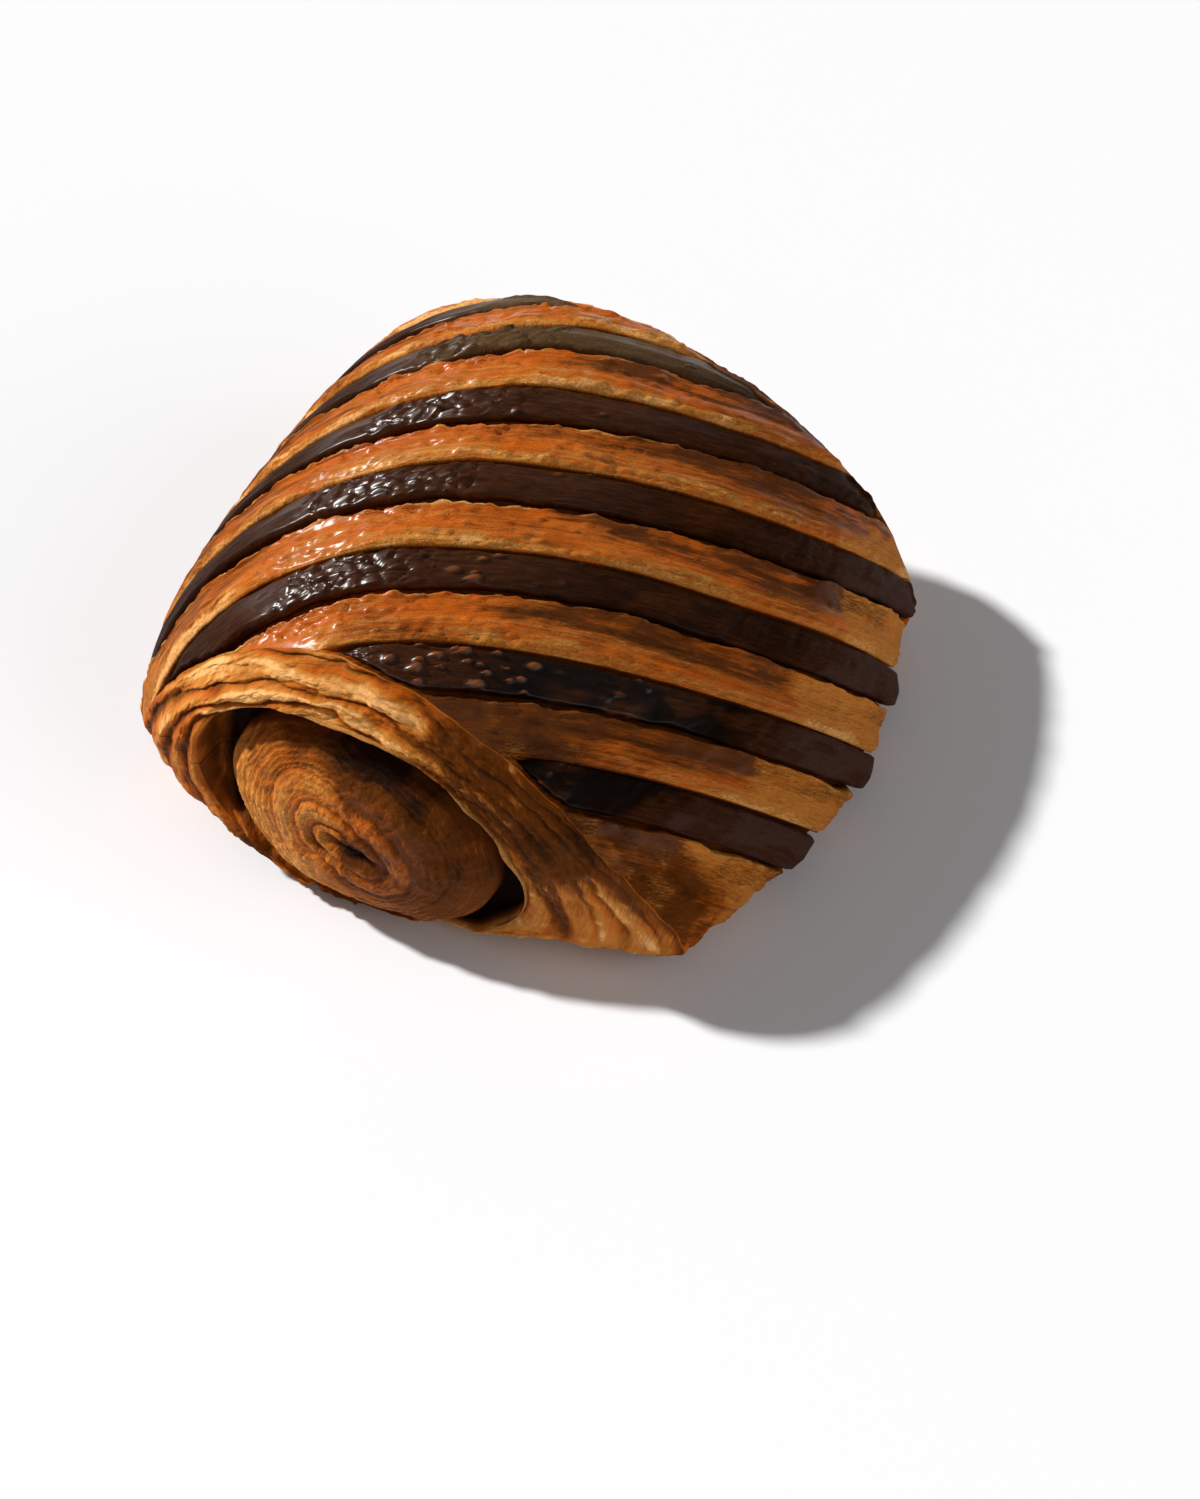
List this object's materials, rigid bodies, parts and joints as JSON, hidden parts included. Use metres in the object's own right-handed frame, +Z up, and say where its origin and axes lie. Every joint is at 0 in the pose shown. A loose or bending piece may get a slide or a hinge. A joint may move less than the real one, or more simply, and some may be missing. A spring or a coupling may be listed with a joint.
{
  "type": "pain au chocolat",
  "caption": "Baked roll of laminated dough with swirled ends and a stepped, glossy crust, crossed on the slant by proud dark strips of cocoa dough; lies on a flat base.",
  "frame": {"origin": "middle of the flat underside, on the board, centred under the part's box", "axes": "+Z up from the board; the roll lies along Y, with a swirled end facing -Y and the other facing +Y; +X across the roll, from its steep flank to its broad flank"},
  "size_m": [0.1128, 0.1102, 0.0561],
  "materials": {
    "baked_dough": "browned, flaky laminated crust with a broken egg-wash shine",
    "cocoa_dough": "dark cocoa crust, blistered and glossy on top, dull towards the board"
  },
  "bodies": {
    "root": {"dough_roll": "baked_dough", "cocoa_strip_1": "cocoa_dough", "cocoa_strip_2": "cocoa_dough", "cocoa_strip_3": "cocoa_dough", "cocoa_strip_4": "cocoa_dough", "cocoa_strip_5": "cocoa_dough", "cocoa_strip_6": "cocoa_dough", "cocoa_strip_7": "cocoa_dough"}
  },
  "joints": []
}
